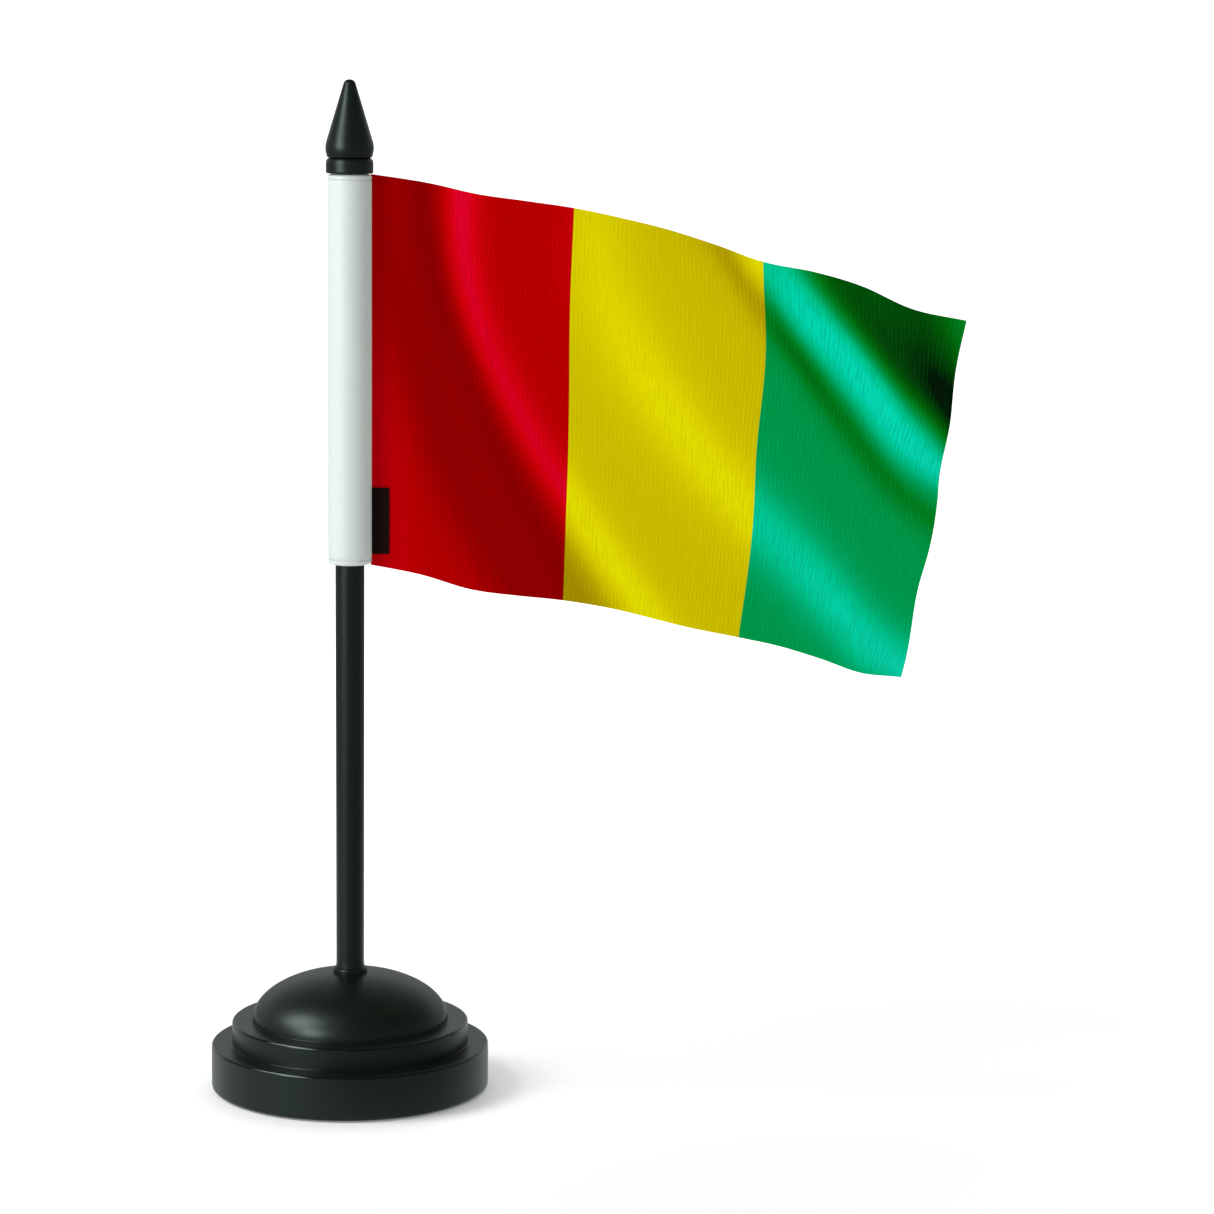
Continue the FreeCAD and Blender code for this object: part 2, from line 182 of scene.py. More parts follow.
def add_bump(tree, shader, height, strength, depth):
    """Relief on a shader from a height output; depth in millimetres."""
    bump = node(tree, "Bump", Strength=strength, Distance=depth * MM)
    join(tree, height, (bump, "Height"))
    join(tree, (bump, "Normal"), (shader, "Normal"))


def finish_surface(tree, shader):
    """Joins the shader to the material's output."""
    output = next(n for n in tree.nodes if n.type == "OUTPUT_MATERIAL")
    join(tree, (shader, 0), (output, 0))


# ---------------------------------------------------------------- shared effects

def build_moulded_grain():
    """Fine spark-eroded grain of a moulding, with slow shifts of gloss and a few dust specks."""
    tree, given, result = new_group(
        "moulded_grain",
        [("Grain Size", "Float", 2600.0), ("Gloss", "Float", 0.4), ("Gloss Shift", "Float", 0.06)],
        [("Height", "Float"), ("Roughness", "Float"), ("Dust", "Float")],
    )
    place = node(tree, "TexCoord")
    grain = node(tree, "TexNoise", Detail=3.0, Roughness=0.6)
    join(tree, (place, "Object"), (grain, "Vector"))
    join(tree, (given, "Grain Size"), (grain, "Scale"))
    join(tree, (grain, "Fac"), (result, "Height"))
    cloud = node(tree, "TexNoise", Scale=45.0, Detail=4.0, Roughness=0.55)
    join(tree, (place, "Object"), (cloud, "Vector"))
    centred = maths(tree, "SUBTRACT", (cloud, "Fac"), 0.5)
    shift = maths(tree, "MULTIPLY", centred, (given, "Gloss Shift"))
    gloss = maths(tree, "ADD", (given, "Gloss"), shift)
    join(tree, gloss, (result, "Roughness"))
    specks = node(tree, "TexVoronoi", Scale=900.0, feature="F1")
    join(tree, (place, "Object"), (specks, "Vector"))
    near = maths(tree, "LESS_THAN", (specks, "Distance"), 0.09)
    patchy = graded(tree, (cloud, "Fac"), 0.55, 0.75)
    dust = maths(tree, "MULTIPLY", near, patchy)
    join(tree, dust, (result, "Dust"))
    return tree


def build_satin_ribs():
    """Upright ribs of the satin weave, in cloth millimetres, broken up into uneven threads."""
    tree, given, result = new_group(
        "satin_ribs",
        [("Rib Pitch", "Float", 0.85), ("Wander", "Float", 0.5)],
        [("Height", "Float"), ("Streak", "Float")],
    )
    threads = node(tree, "UVMap", uv_map="thread")
    parts = split(tree, (threads, "UV"))
    bend = node(tree, "TexNoise", Scale=1.0, Detail=2.0)
    join(tree, stretched(tree, parts, 0.35, 0.045), (bend, "Vector"))
    drift = maths(tree, "MULTIPLY", (bend, "Fac"), (given, "Wander"))
    across = maths(tree, "ADD", (parts, "X"), drift)
    turns = maths(tree, "DIVIDE", across, (given, "Rib Pitch"))
    angle = maths(tree, "MULTIPLY", turns, 2 * math.pi)
    wave = maths(tree, "SINE", angle)
    streaks = node(tree, "TexNoise", Scale=1.0, Detail=3.0, Roughness=0.65)
    join(tree, stretched(tree, parts, 1.6, 0.16), (streaks, "Vector"))
    broken = graded(tree, (streaks, "Fac"), 0.35, 0.7)
    ribs = maths(tree, "MULTIPLY", wave, broken)
    height = maths(tree, "ADD", maths(tree, "MULTIPLY", ribs, 0.5), (streaks, "Fac"))
    join(tree, height, (result, "Height"))
    streak = maths(tree, "ADD", maths(tree, "MULTIPLY", ribs, 0.14), (streaks, "Fac"))
    join(tree, streak, (result, "Streak"))
    return tree


def build_rubbed_rims():
    """1 on the rounded rims of the base's steps, which hands have rubbed smooth, and 0 elsewhere."""
    tree, given, result = new_group(
        "rubbed_rims", [("Inner Radius", "Float", 0.0265)], [("Rub", "Float")])
    place = node(tree, "TexCoord")
    parts = split(tree, (place, "Object"))
    reach = node(tree, "VectorMath", operation="LENGTH")
    join(tree, stretched(tree, parts, 1.0, 1.0), (reach, 0))
    outside = maths(tree, "GREATER_THAN", (reach, "Value"), (given, "Inner Radius"))
    facing = split(tree, (place, "Normal"))
    off_wall = graded(tree, (facing, "Z"), 0.04, 0.30)
    off_ledge = graded(tree, maths(tree, "SUBTRACT", 1.0, (facing, "Z")), 0.01, 0.08)
    rim = maths(tree, "MULTIPLY", off_wall, off_ledge)
    join(tree, maths(tree, "MULTIPLY", rim, outside), (result, "Rub"))
    return tree


def build_painted_fold_shading():
    """Satin colour with painted shade and highlight from the fold slope: 0 paints shade in the deepest
    hollow, 0.5 is flat cloth, 1 paints a highlight on a lit flank.
    """
    steps = (
        ("Hollow", 0.06, 0.28), ("Shade", 0.28, 0.38), ("Plain", 0.38, 0.50),
        ("Lit", 0.50, 0.68), ("Gleam", 0.68, 0.90),
    )
    tree, given, result = new_group(
        "painted_fold_shading",
        [("Painted Light", "Float", 0.5), ("Deep", "Color", (0, 0, 0, 1))]
        + [(label, "Color", (1, 1, 1, 1)) for label, low, high in steps],
        [("Colour", "Color"), ("Dim", "Color")],
    )
    colour = (given, "Deep")
    for label, low, high in steps:
        share = graded(tree, (given, "Painted Light"), low, high, course="LINEAR")
        colour = mix_colour(tree, share, colour, (given, label))
    join(tree, colour, (result, "Colour"))
    # Dim: the colour pulled towards the painted Shade colour, for the darker rib streaks.
    join(tree, mix_colour(tree, 0.6, colour, (given, "Shade")), (result, "Dim"))
    return tree


def build_plain_weave():
    """Over-and-under weave for the wrap and the label, in cloth millimetres."""
    tree, given, result = new_group(
        "plain_weave",
        [("Threads per mm", "Float", 3.0)],
        [("Height", "Float"), ("Shade", "Float")],
    )
    threads = node(tree, "UVMap", uv_map="thread")
    parts = split(tree, (threads, "UV"))
    waves = []
    for axis in ("X", "Y"):
        turns = maths(tree, "MULTIPLY", (parts, axis), (given, "Threads per mm"))
        waves.append(maths(tree, "SINE", maths(tree, "MULTIPLY", turns, math.pi)))
    height = maths(tree, "ABSOLUTE", maths(tree, "MULTIPLY", waves[0], waves[1]))
    join(tree, height, (result, "Height"))
    cloud = node(tree, "TexNoise", Scale=0.9, Detail=4.0)
    join(tree, (threads, "UV"), (cloud, "Vector"))
    join(tree, (cloud, "Fac"), (result, "Shade"))
    return tree


MOULDED_GRAIN = build_moulded_grain()
SATIN_RIBS = build_satin_ribs()
PAINTED_FOLD_SHADING = build_painted_fold_shading()
PLAIN_WEAVE = build_plain_weave()
RUBBED_RIMS = build_rubbed_rims()


# ---------------------------------------------------------------- materials

def moulded_plastic(name, colour, dust_colour, gloss, grain_depth, specular, gleam_tint, rub=0.0):
    """Injection-moulded plastic; grain depth in millimetres, rub is how much smoother its rims are."""
    material, tree = new_material(name)
    grain = place_group(tree, MOULDED_GRAIN, Gloss=gloss)
    shader = node(tree, "BsdfPrincipled", Specular_IOR_Level=specular, Specular_Tint=gleam_tint)
    tint = mix_colour(tree, (grain, "Dust"), colour, dust_colour)
    join(tree, tint, (shader, "Base Color"))
    roughness = (grain, "Roughness")
    if rub:
        rims = place_group(tree, RUBBED_RIMS)
        roughness = maths(tree, "SUBTRACT", roughness, maths(tree, "MULTIPLY", (rims, "Rub"), rub))
    join(tree, roughness, (shader, "Roughness"))
    add_bump(tree, shader, (grain, "Height"), strength=0.25, depth=grain_depth)
    finish_surface(tree, shader)
    return material


def satin_cloth(name, gleam_tint, **colours):
    """Printed satin polyester: ribs, a tinted gleam, and painted shade in the fold hollows with painted
    highlights on the lit flanks, set from the fold slope.

    The ribs shift the painted fold light a little and show as darker streaks: uneven threads, with painted
    rib shade strongest where the painted highlight is.
    """
    material, tree = new_material(name)
    # Painted fold light: painted shade and highlight from the fold slope, stored on the cloth.
    painted_light = node(tree, "Attribute", attribute_name="painted_light")
    tint = place_group(tree, PAINTED_FOLD_SHADING, **{label: colour + (1,) for label, colour in colours.items()})
    ribs = place_group(tree, SATIN_RIBS, Rib_Pitch=1.15, Wander=0.6)
    # The ribs shift the painted fold light a little, so the painted highlights break along them.
    rib_light_shift = maths(tree, "MULTIPLY", maths(tree, "SUBTRACT", (ribs, "Height"), 0.5), 0.07)
    join(tree, maths(tree, "ADD", (painted_light, "Fac"), rib_light_shift), (tint, "Painted Light"))
    # Darker streaks: uneven threads, with painted rib shade made strongest where the painted highlight is.
    streak = graded(tree, (ribs, "Streak"), 0.38, 0.66)
    lit = graded(tree, (painted_light, "Fac"), 0.45, 0.8)
    strength = maths(tree, "ADD", maths(tree, "MULTIPLY", lit, 0.42), 0.07)
    shaded = mix_colour(tree, maths(tree, "MULTIPLY", streak, strength), (tint, "Colour"), (tint, "Dim"))
    shader = node(tree, "BsdfPrincipled", Specular_IOR_Level=0.08, Specular_Tint=gleam_tint,
                  Sheen_Weight=0.02, Sheen_Roughness=0.35, Sheen_Tint=gleam_tint)
    join(tree, shaded, (shader, "Base Color"))
    roughness = maths(tree, "ADD", maths(tree, "MULTIPLY", (ribs, "Streak"), 0.12), 0.36)
    join(tree, roughness, (shader, "Roughness"))
    add_bump(tree, shader, (ribs, "Height"), strength=0.8, depth=0.10)
    finish_surface(tree, shader)
    return material


def woven_cloth(name, colour, shade, threads, roughness, depth, specular):
    """Plain woven tape or ticking; threads per millimetre, and depth of the weave in millimetres."""
    material, tree = new_material(name)
    weave = place_group(tree, PLAIN_WEAVE, Threads_per_mm=threads)
    shader = node(tree, "BsdfPrincipled", Roughness=roughness, Specular_IOR_Level=specular)
    tint = mix_colour(tree, graded(tree, (weave, "Shade"), 0.35, 0.75), colour, shade)
    join(tree, tint, (shader, "Base Color"))
    add_bump(tree, shader, (weave, "Height"), strength=0.4, depth=depth)
    finish_surface(tree, shader)
    return material


def turned_steel(name, colour, roughness, grain_scale):
    """Steel with fine tooling marks."""
    material, tree = new_material(name)
    place = node(tree, "TexCoord")
    marks = node(tree, "TexNoise", Scale=grain_scale, Detail=5.0)
    join(tree, (place, "Object"), (marks, "Vector"))
    shader = node(tree, "BsdfPrincipled", Metallic=1.0)
    tint = mix_colour(tree, (marks, "Fac"), colour, tuple(c * 0.6 for c in colour[:3]) + (1,))
    join(tree, tint, (shader, "Base Color"))
    gloss = maths(tree, "ADD", maths(tree, "MULTIPLY", (marks, "Fac"), 0.2), roughness)
    join(tree, gloss, (shader, "Roughness"))
    finish_surface(tree, shader)
    return material


def cell_foam(name, colour):
    """Closed-cell foam with small open pits."""
    material, tree = new_material(name)
    place = node(tree, "TexCoord")
    cells = node(tree, "TexVoronoi", Scale=1400.0, feature="F1")
    join(tree, (place, "Object"), (cells, "Vector"))
    shader = node(tree, "BsdfPrincipled", Roughness=0.9, Specular_IOR_Level=0.3)
    tint = mix_colour(tree, (cells, "Distance"), colour, tuple(c * 2.2 for c in colour[:3]) + (1,))
    join(tree, tint, (shader, "Base Color"))
    add_bump(tree, shader, (cells, "Distance"), strength=0.6, depth=0.2)
    finish_surface(tree, shader)
    return material


BLACK_DUST = (0.03, 0.036, 0.034, 1)
BLACK_GLEAM = (0.78, 1.0, 0.91, 1)
BLACK_PLASTIC = moulded_plastic(
    "black_satin_plastic", colour=(0.0040, 0.0065, 0.0056, 1), dust_colour=BLACK_DUST,
    gloss=0.38, grain_depth=0.02, specular=0.30, gleam_tint=BLACK_GLEAM)
BASE_PLASTIC = moulded_plastic(
    "black_base_plastic", colour=(0.0034, 0.0054, 0.0047, 1), dust_colour=BLACK_DUST,
    gloss=0.38, grain_depth=0.02, specular=0.30, gleam_tint=BLACK_GLEAM, rub=0.25)
SLEEVE_PLASTIC = moulded_plastic(
    "white_sleeve_plastic", colour=(0.84, 0.88, 0.85, 1), dust_colour=(0.7, 0.72, 0.7, 1),
    gloss=0.32, grain_depth=0.01, specular=0.5, gleam_tint=(1, 1, 1, 1))
SLEEVE_CLOTH = woven_cloth(
    "white_wrap_cloth", colour=(0.80, 0.85, 0.815, 1), shade=(0.77, 0.83, 0.79, 1),
    threads=5.0, roughness=0.5, depth=0.01, specular=0.4)
LABEL_CLOTH = woven_cloth(
    "black_label_tape", colour=(0.013, 0.003, 0.004, 1), shade=(0.021, 0.005, 0.006, 1),
    threads=4.0, roughness=0.6, depth=0.03, specular=0.06)
BALLAST_STEEL = turned_steel("ballast_steel", (0.34, 0.33, 0.32, 1), roughness=0.4, grain_scale=300.0)
SCREW_STEEL = turned_steel("zinc_screw_steel", (0.66, 0.66, 0.63, 1), roughness=0.25, grain_scale=900.0)
PAD_FOAM = cell_foam("black_pad_foam", (0.012, 0.012, 0.012, 1))
# Satin colours: the plain print colour with painted shade copies (Deep, Hollow, Shade) and painted
# highlight copies (Lit, Gleam).
SATIN = {
    "red": satin_cloth(
        "red_satin", gleam_tint=(1.0, 0.0, 0.05, 1),
        Deep=(0.10, 0.0, 0.0), Hollow=(0.355, 0.0, 0.0), Shade=(0.44, 0.0, 0.0),
        Plain=(0.585, 0.0, 0.0), Lit=(0.82, 0.0, 0.006), Gleam=(0.94, 0.0, 0.06)),
    "yellow": satin_cloth(
        "yellow_satin", gleam_tint=(1.0, 0.97, 0.0, 1),
        Deep=(0.30, 0.20, 0.0), Hollow=(0.52, 0.36, 0.0), Shade=(0.615, 0.45, 0.0),
        Plain=(0.77, 0.63, 0.0), Lit=(0.92, 0.82, 0.0), Gleam=(0.98, 0.94, 0.0)),
    "green": satin_cloth(
        "green_satin", gleam_tint=(0.0, 1.0, 0.60, 1),
        Deep=(0.0, 0.008, 0.0), Hollow=(0.0, 0.17, 0.001), Shade=(0.0, 0.285, 0.016),
        Plain=(0.0, 0.39, 0.083), Lit=(0.0, 0.64, 0.31), Gleam=(0.0, 0.80, 0.54)),
}


def dress(nodes, material):
    """Gives the CAD pieces their finish."""
    for name in nodes:
        mesh = NODES[name].data
        mesh.materials.clear()
        mesh.materials.append(material)


dress(("base_shell",), BASE_PLASTIC)
dress(("base_cover", "pole_bush", "pole_tube", "pole_foot_plug", "pole_top_plug",
       "finial_collar", "finial_spear"), BLACK_PLASTIC)
dress(("sleeve_tube",), SLEEVE_PLASTIC)
dress(("ballast_weight",), BALLAST_STEEL)
dress(("cover_screws",), SCREW_STEEL)
dress(("foam_pad",), PAD_FOAM)


# ---------------------------------------------------------------- the flag's cloth

SLEEVE_LOW, SLEEVE_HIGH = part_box("sleeve_tube")
SLEEVE_R = SLEEVE_HIGH.x
SLEEVE_TOP = SLEEVE_HIGH.z
SLEEVE_BOTTOM = SLEEVE_LOW.z

CLOTH_LENGTH_MM = 160
CLOTH_HEIGHT_MM = 100
FLAG_LENGTH = CLOTH_LENGTH_MM * MM
FLAG_HEIGHT = SLEEVE_TOP - SLEEVE_BOTTOM
CLOTH_THICKNESS = 0.3 * MM
CLOTH_SET_BACK = 1.65 * MM
CLOTH_STEP = 0.8 * MM
SHARP_EDGE = math.radians(50)

# The cloth is drawn in towards the pole beside the sleeve: by the tuck at the hoist, fading over the reach.
HOIST_TUCK_MM = 0.3
HOIST_TUCK_REACH_MM = 1.5

# The painted fold light of flat cloth, and a painted lightening at the hoist beside the sleeve, which takes
# back some of the sleeve's shade on the cloth.
FLAT_PAINTED_LIGHT = 0.5
HOIST_PAINTED_LIGHT_LIFT = 0.17
HOIST_PAINTED_LIGHT_REACH_MM = 9

# The hems and seams hang through these places, in millimetres at even steps: drops of the top hem below
# the hoist's corner, extra drops of the foot hem, and reaches of the colour seams and the fly hem.
TOP_HEM_DROPS = (0, 2.1, 4.9, 6.6, 8.3, 10.7, 13.6, 17.4, 21.7, 24.1, 28.0, 34.1, 37.2)
FOOT_HEM_DROPS = (0.5, 3.1, 6.9, 8.8, 10.4, 12.7, 15.3, 17.9, 20.1, 22.5, 25.8, 29.4, 30.1)
SEAM_1_REACHES = (51.7, 50.9, 50.9, 50.6, 49.8)
SEAM_2_REACHES = (100.5, 101.3, 99.2, 98.7, 95.9)
FLY_REACHES = (155.0, 152.0, 149.7, 147.2, 146.9, 144.8, 141.6, 139.9, 138.6)

# A fold crosses the cloth on a line that starts that far from the hoist at the top hem, then leans and
# bends towards the fly.  Its half width and steepest slope are given at the top and at the foot.
Fold = namedtuple("Fold", "start lean bend top_width foot_width top_slope foot_slope")
FOLDS = (
    Fold(1.0, 0.06, 0.0034, 8.7, 10.0, -0.18, -0.17),
    Fold(12.0, 0.16, 0.0031, 4.4, 9.8, -0.20, -0.21),
    Fold(22.7, 0.0, 0.0057, 4.3, 7.5, 0.29, 0.26),
    Fold(59.0, 0.0, 0.0107, 8.6, 15.0, 0.10, 0.37),
    Fold(96.0, 0.67, 0.0088, 5.5, 6.2, -0.15, -0.10),
    Fold(108.0, 0.0, 0.0144, 4.7, 5.0, -0.11, 0.02),
    Fold(109.2, 0.71, 0.0130, 9.4, 9.0, 0.57, 0.31),
    Fold(123.0, 1.16, 0.0172, 20.9, 6.1, -0.33, -0.24),
    Fold(148.3, 0.56, -0.0020, 9.7, 2.4, -0.21, -0.10),
)


def new_piece(name, mesh, material):
    """Puts a smooth-shaded mesh with its material into the scene."""
    for polygon in mesh.polygons:
        polygon.use_smooth = True
    mesh.materials.append(material)
    piece = bpy.data.objects.new(name, mesh)
    bpy.context.scene.collection.objects.link(piece)
    return piece


def smooth_curve(values, share):
    """Smooth curve through values at even steps, read at fractions of its length."""
    padded = np.array((2 * values[0] - values[1],) + tuple(values) + (2 * values[-1] - values[-2],))
    last_step = len(values) - 2
    step = np.minimum((share * (last_step + 1)).astype(int), last_step)
    rest = share * (last_step + 1) - step
    before, first, last, after = (padded[step + shift] for shift in range(4))
    lean = (last - before) / 2
    bend = before - 2.5 * first + 2 * last - after / 2
    twist = 1.5 * (first - last) + (after - before) / 2
    return first + rest * (lean + rest * (bend + rest * twist))


def folds_at(along, down):
    """Sum of the folds at cloth places in millimetres: the rise towards the front, and its slope."""
    rise = np.zeros_like(along)
    slope = np.zeros_like(along)
    for fold in FOLDS:
        width = fold.top_width + (fold.foot_width - fold.top_width) * down / CLOTH_HEIGHT_MM
        steep = fold.top_slope + (fold.foot_slope - fold.top_slope) * down / CLOTH_HEIGHT_MM
        line = fold.start + fold.lean * down + fold.bend * down ** 2
        share = np.tanh((along - line) / width)
        rise += steep * width * share
        slope += steep * (1 - share ** 2)
    return rise, slope


def cloth_places(u, v):
    """Points of the cloth's middle in metres, and the painted fold light value, for grids of fractions."""
    along = u * CLOTH_LENGTH_MM
    down = v * CLOTH_HEIGHT_MM
    rise, slope = folds_at(along, down)
    hoist_rise = folds_at(np.zeros_like(along), down)[0]
    seam_1 = smooth_curve(SEAM_1_REACHES, v)
    seam_2 = smooth_curve(SEAM_2_REACHES, v)
    fly = smooth_curve(FLY_REACHES, v)
    # A cubic in u that passes through the hoist at 0, both seams at their thirds and the fly at 1.
    thirds = 3 * u
    x = thirds * (thirds - 2) * (thirds - 3) / 2 * seam_1
    x -= thirds * (thirds - 1) * (thirds - 3) / 2 * seam_2
    x += thirds * (thirds - 1) * (thirds - 2) / 6 * fly
    x -= HOIST_TUCK_MM * np.exp(-along / HOIST_TUCK_REACH_MM)
    top = -smooth_curve(TOP_HEM_DROPS, u)
    foot = -CLOTH_HEIGHT_MM - smooth_curve(FOOT_HEM_DROPS, u)
    points = np.stack([
        SLEEVE_R + x * MM,
        CLOTH_SET_BACK - (rise - hoist_rise) * MM,
        SLEEVE_TOP + (top + (foot - top) * v) * MM,
    ], axis=-1)
    # Painted lightening near the hoist, against the sleeve's shade on the cloth.
    hoist_painted_light = HOIST_PAINTED_LIGHT_LIFT * np.exp(-(along / HOIST_PAINTED_LIGHT_REACH_MM) ** 2)
    return points, np.clip(FLAT_PAINTED_LIGHT + slope + hoist_painted_light, 0, 1)


def flag_band(name, colour, first, last):
    """One colour band of the hanging flag, between two fractions of its length."""
    columns = int(round((last - first) * FLAG_LENGTH / CLOTH_STEP)) + 1
    rows = int(round(FLAG_HEIGHT / CLOTH_STEP)) + 1
    u, v = np.meshgrid(np.linspace(first, last, columns), np.linspace(0, 1, rows), indexing="ij")
    points, painted_light = cloth_places(u, v)
    mesh = bpy.data.meshes.new(name)
    index = np.arange(columns * rows).reshape(columns, rows)
    faces = np.stack([index[:-1, :-1], index[:-1, 1:], index[1:, 1:], index[1:, :-1]], axis=-1)
    mesh.from_pydata(points.reshape(-1, 3).tolist(), [], faces.reshape(-1, 4).tolist())
    thread = mesh.uv_layers.new(name="thread")
    corner = np.zeros(len(mesh.loops), dtype=int)
    mesh.loops.foreach_get("vertex_index", corner)
    flat = np.stack([u.reshape(-1) * CLOTH_LENGTH_MM, v.reshape(-1) * CLOTH_HEIGHT_MM], axis=-1)[corner]
    thread.data.foreach_set("uv", flat.reshape(-1).astype(np.float32))
    # The painted fold light goes on the mesh, for the satin's painted shade and highlight.
    attribute = mesh.attributes.new("painted_light", "FLOAT", "POINT")
    attribute.data.foreach_set("value", painted_light.reshape(-1).astype(np.float32))
    piece = new_piece(name, mesh, SATIN[colour])
    thicken(piece, CLOTH_THICKNESS)
    piece.visible_diffuse = False
    return piece


def apply_modifiers(piece):
    """Turns the piece's modifiers into its mesh."""
    bpy.context.view_layer.update()
    graph = bpy.context.evaluated_depsgraph_get()
    made = bpy.data.meshes.new_from_object(
        piece.evaluated_get(graph), preserve_all_data_layers=True, depsgraph=graph)
    piece.modifiers.clear()
    piece.data = made
    made.set_sharp_from_angle(angle=SHARP_EDGE)


def thicken(piece, thickness):
    """Gives a sheet its real thickness, half to each side."""
    solid = piece.modifiers.new("thickness", "SOLIDIFY")
    solid.thickness = thickness
    solid.offset = 0
    solid.use_even_offset = True
    apply_modifiers(piece)


BAND_ENDS = (0, 1 / 3, 2 / 3, 1)
for number, colour in enumerate(("red", "yellow", "green")):
    band = flag_band("cloth_band_" + colour, colour, BAND_ENDS[number], BAND_ENDS[number + 1])
    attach(band, "flag")
    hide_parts("flag_band_" + colour)


# ---------------------------------------------------------------- wrap and label

def cloth_wrap():
    """White cloth pocket drawn tight over the stiff tube, with turned-in ends."""
    low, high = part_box("sleeve_wrap")
    sides = 96
    rows = 120
    # In millimetres: how far the cloth lies inside the sleeve's outline, and how it rounds in at its ends.
    thickness = 0.28
    inset = 0.02
    end_rounding = 0.12
    end_reach = 0.25
    pull_depth = 0.012
    mesh = bpy.data.meshes.new("white_wrap")
    build = bmesh.new()
    thread = build.loops.layers.uv.new("thread")
    angles = [2 * math.pi * side / sides for side in range(sides)]

    def ring_of(z, radii):
        return [build.verts.new((radius * math.cos(angle), radius * math.sin(angle), z))
                for angle, radius in zip(angles, radii)]

    grid = []
    for row in range(rows + 1):
        share = row / rows
        z = low.z + (high.z - low.z) * share
        end = min(share, 1 - share) * (high.z - low.z) / MM
        sunk = inset + end_rounding * math.exp(-(end / end_reach) ** 2)
        strain = pull_depth * math.sin(math.pi * share)
        pulls = [strain * math.sin(5 * angle + 9 * share) for angle in angles]
        grid.append(ring_of(z, [SLEEVE_R - (sunk + pull) * MM for pull in pulls]))
    inner = [SLEEVE_R - thickness * MM] * sides
    grid.insert(0, ring_of(low.z, inner))
    grid.append(ring_of(high.z, inner))
    for lower, upper in zip(grid, grid[1:] + grid[:1]):
        for side in range(sides):
            after = (side + 1) % sides
            face = build.faces.new((lower[side], lower[after], upper[after], upper[side]))
            corners = ((side, lower), (side + 1, lower), (side + 1, upper), (side, upper))
            for loop, (turn, ring) in zip(face.loops, corners):
                around = turn / sides * 2 * math.pi * SLEEVE_R / MM
                loop[thread].uv = (around, ring[side].co.z / MM)
    build.to_mesh(mesh)
    build.free()
    return new_piece("white_wrap", mesh, SLEEVE_CLOTH)


wrap = cloth_wrap()
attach(wrap, "flag")
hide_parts("sleeve_wrap")


def folded_label():
    """Blank woven tape folded double at its outer edge, lying on the red band."""
    low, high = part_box("side_label")
    width = high.x - low.x
    height = high.z - low.z
    back = high.y
    layer = 0.14 * MM
    gap = 0.05 * MM
    bulge = 0.10 * MM
    steps = 12
    turn_steps = 9
    centre_line = [(share * (width - layer), back - layer / 2) for share in np.linspace(-0.1, 1, steps)]
    turn_r = (layer + gap) / 2
    for angle in np.linspace(math.pi / 2, -math.pi / 2, turn_steps)[1:-1]:
        centre_line.append((width - layer + turn_r * math.cos(angle),
                            back - layer / 2 - turn_r + turn_r * math.sin(angle)))
    centre_line += [(x, y - layer - gap) for x, y in reversed(centre_line[:steps])]
    rows = 40
    verts = []
    flat = []
    for row in range(rows + 1):
        z = low.z + height * row / rows
        travelled = 0.0
        last = centre_line[0]
        for x, y in centre_line:
            travelled += math.dist(last, (x, y))
            last = (x, y)
            lift = bulge * (x / width) ** 2 * math.sin(math.pi * row / rows)
            verts.append((low.x + x, y - lift, z))
            flat.append((travelled / MM, z / MM))
    count = len(centre_line)
    faces = [(r * count + c, r * count + c + 1, (r + 1) * count + c + 1, (r + 1) * count + c)
             for r in range(rows) for c in range(count - 1)]
    mesh = bpy.data.meshes.new("blank_label")
    mesh.from_pydata(verts, [], faces)
    thread = mesh.uv_layers.new(name="thread")
    for loop in mesh.loops:
        thread.data[loop.index].uv = flat[loop.vertex_index]
    piece = new_piece("blank_label", mesh, LABEL_CLOTH)
    thicken(piece, layer)
    return piece


label = folded_label()
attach(label, "flag")
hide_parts("side_label")


# ---------------------------------------------------------------- studio

COOL_WHITE = (0.94, 1.0, 0.97, 1)


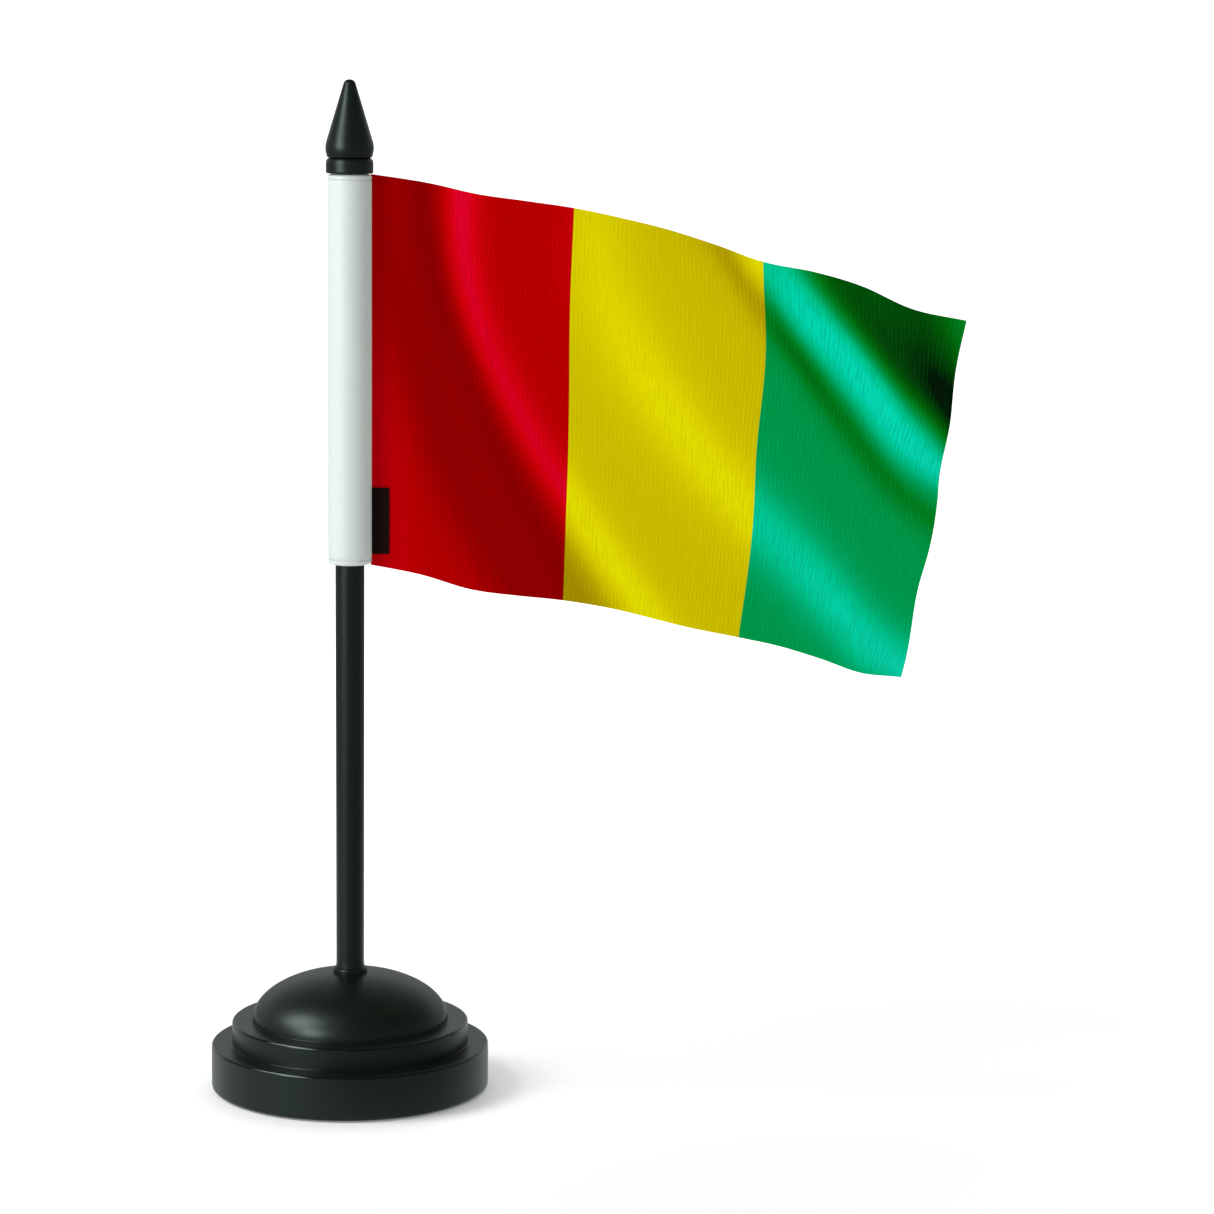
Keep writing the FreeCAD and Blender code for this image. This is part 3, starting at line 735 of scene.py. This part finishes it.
def studio_surface(name):
    """Pale studio paper: shadows stay real, a glow that only the eye sees makes it brighter far off, and
    gloss rays see a painted reflection that glows in a graded pattern.

    All lengths are in metres from the stand's foot.
    """
    material, tree = new_material(name)
    diffuse = node(tree, "BsdfDiffuse", Color=(0.80, 0.80, 0.80, 1))
    seen = node(tree, "BsdfDiffuse", Color=(0.98, 0.98, 0.98, 1))
    place = node(tree, "TexCoord")
    parts = split(tree, (place, "Object"))
    reach = node(tree, "VectorMath", operation="LENGTH")
    join(tree, (place, "Object"), (reach, 0))
    glow = node(tree, "Emission", Color=(1, 1, 1, 1))
    join(tree, graded(tree, (reach, "Value"), 0.12, 0.6, 0.195, 0.80), (glow, "Strength"))
    both = node(tree, "AddShader")
    join(tree, (seen, 0), (both, 0))
    join(tree, (glow, 0), (both, 1))
    # Painted reflection, seen only by gloss rays: a glow that is dimmer on the floor in front of the base,
    # with a brighter glowing band low on the backdrop.
    ahead = maths(tree, "SUBTRACT", maths(tree, "MULTIPLY", (parts, "X"), 0.6), (parts, "Y"))
    beside = graded(tree, ahead, 0.03, 0.09, 0.50, 0.0)
    near = graded(tree, (reach, "Value"), 0.15, 0.5, 1.0, 0.0)
    above = graded(tree, (parts, "Z"), 0.28, 0.45, 0.0, 0.50)
    below = graded(tree, (parts, "Z"), 0.6, 1.6, 1.0, 0.0)
    floor_level = maths(tree, "MULTIPLY", beside, near)
    band_level = maths(tree, "MULTIPLY", above, below)
    level = maths(tree, "ADD", floor_level, band_level)
    gleam = node(tree, "Emission", Color=COOL_WHITE)
    join(tree, maths(tree, "ADD", level, 0.36), (gleam, "Strength"))
    path = node(tree, "LightPath")
    by_gloss = node(tree, "MixShader")
    join(tree, (path, "Is Glossy Ray"), (by_gloss, 0))
    join(tree, (diffuse, 0), (by_gloss, 1))
    join(tree, (gleam, 0), (by_gloss, 2))
    by_eye = node(tree, "MixShader")
    join(tree, (path, "Is Camera Ray"), (by_eye, 0))
    join(tree, (by_gloss, 0), (by_eye, 1))
    join(tree, (both, 0), (by_eye, 2))
    finish_surface(tree, by_eye)
    return material


def studio_sweep():
    """Floor that curves up into a backdrop."""
    half_width = 3.0
    front = -2.0
    bend_start = 1.2
    bend_r = 0.8
    wall_top = 3.0
    section = [(front, 0.0), (bend_start, 0.0)]
    section += [(bend_start + bend_r * math.sin(a), bend_r * (1 - math.cos(a)))
                for a in np.linspace(0, math.pi / 2, 25)[1:]]
    section.append((bend_start + bend_r, wall_top))
    verts = [(side * half_width, y, z) for side in (-1, 1) for y, z in section]
    count = len(section)
    faces = [(count + i, count + i + 1, i + 1, i) for i in range(count - 1)]
    mesh = bpy.data.meshes.new("studio_sweep")
    mesh.from_pydata(verts, [], faces)
    sweep = new_piece("studio_sweep", mesh, studio_surface("studio_paper"))
    return sweep


STAND_MIDDLE = Vector((0.04, 0, 0.12))


def soft_light(name, direction, distance, side, power, receivers, diffuse=True, gloss=True):
    """Soft box that faces the stand's middle and lights one collection; metres and watts."""
    data = bpy.data.lights.new(name, "AREA")
    data.shape = "SQUARE"
    data.size = side
    data.energy = power
    light = bpy.data.objects.new(name, data)
    place = STAND_MIDDLE + Vector(direction).normalized() * distance
    light.location = place
    light.rotation_euler = (STAND_MIDDLE - place).to_track_quat("-Z", "Y").to_euler()
    light.visible_diffuse = diffuse
    light.visible_glossy = gloss
    light.light_linking.receiver_collection = receivers
    bpy.context.scene.collection.objects.link(light)


def studio_world():
    """Pale surroundings, darker overhead for gloss; brighter to the eye than as a light."""
    world = bpy.data.worlds.new("studio_world")
    world.use_nodes = True
    tree = world.node_tree
    tree.nodes.clear()
    dim = node(tree, "Background", Color=COOL_WHITE)
    bright = node(tree, "Background", Color=(1, 1, 1, 1), Strength=1.0)
    place = node(tree, "TexCoord")
    parts = split(tree, (place, "Generated"))
    path = node(tree, "LightPath")
    overhead = graded(tree, (parts, "Z"), 0.15, 0.7, 0.0, 0.28)
    shade = maths(tree, "MULTIPLY", overhead, (path, "Is Glossy Ray"))
    join(tree, maths(tree, "SUBTRACT", 0.40, shade), (dim, "Strength"))
    choose = node(tree, "MixShader")
    output = node(tree, "OutputWorld")
    join(tree, (path, "Is Camera Ray"), (choose, 0))
    join(tree, (dim, 0), (choose, 1))
    join(tree, (bright, 0), (choose, 2))
    join(tree, (choose, 0), (output, 0))
    bpy.context.scene.world = world


def light_group(name, pieces):
    """Collection that a light is limited to."""
    group = bpy.data.collections.new(name)
    for piece in pieces:
        group.objects.link(piece)
    return group


meshes = [piece for piece in bpy.context.scene.objects if piece.type == "MESH"]
stand = light_group("stand_pieces", meshes)
base = light_group("base_pieces", [NODES["base_shell"]])
upper = light_group("upper_pieces", [piece for piece in meshes if piece != NODES["base_shell"]])
paper = light_group("studio_paper", [studio_sweep()])
studio_world()
soft_light("key_box", (-0.72, -0.62, 0.22), 1.3, 0.6, 7.0, stand)
soft_light("key_gloss", (-0.74, -0.62, 0.25), 1.3, 0.45, 6.0, stand, diffuse=False)
soft_light("top_box", (-0.40, -0.08, 0.90), 1.2, 0.4, 5.5, stand, gloss=False)
soft_light("dome_gloss", (-0.76, -0.20, 0.62), 1.2, 0.65, 15.0, base, diffuse=False)
soft_light("spear_gloss", (-0.63, -0.38, 0.62), 1.2, 0.35, 6.0, upper, diffuse=False)
soft_light("floor_box", (-0.74, -0.16, 0.66), 1.2, 0.6, 8.5, paper)
soft_light("floor_back", (0.05, 0.60, 0.80), 1.2, 0.9, 4.0, paper)

bpy.context.scene.view_settings.view_transform = "Standard"
bpy.context.scene.view_settings.look = "None"
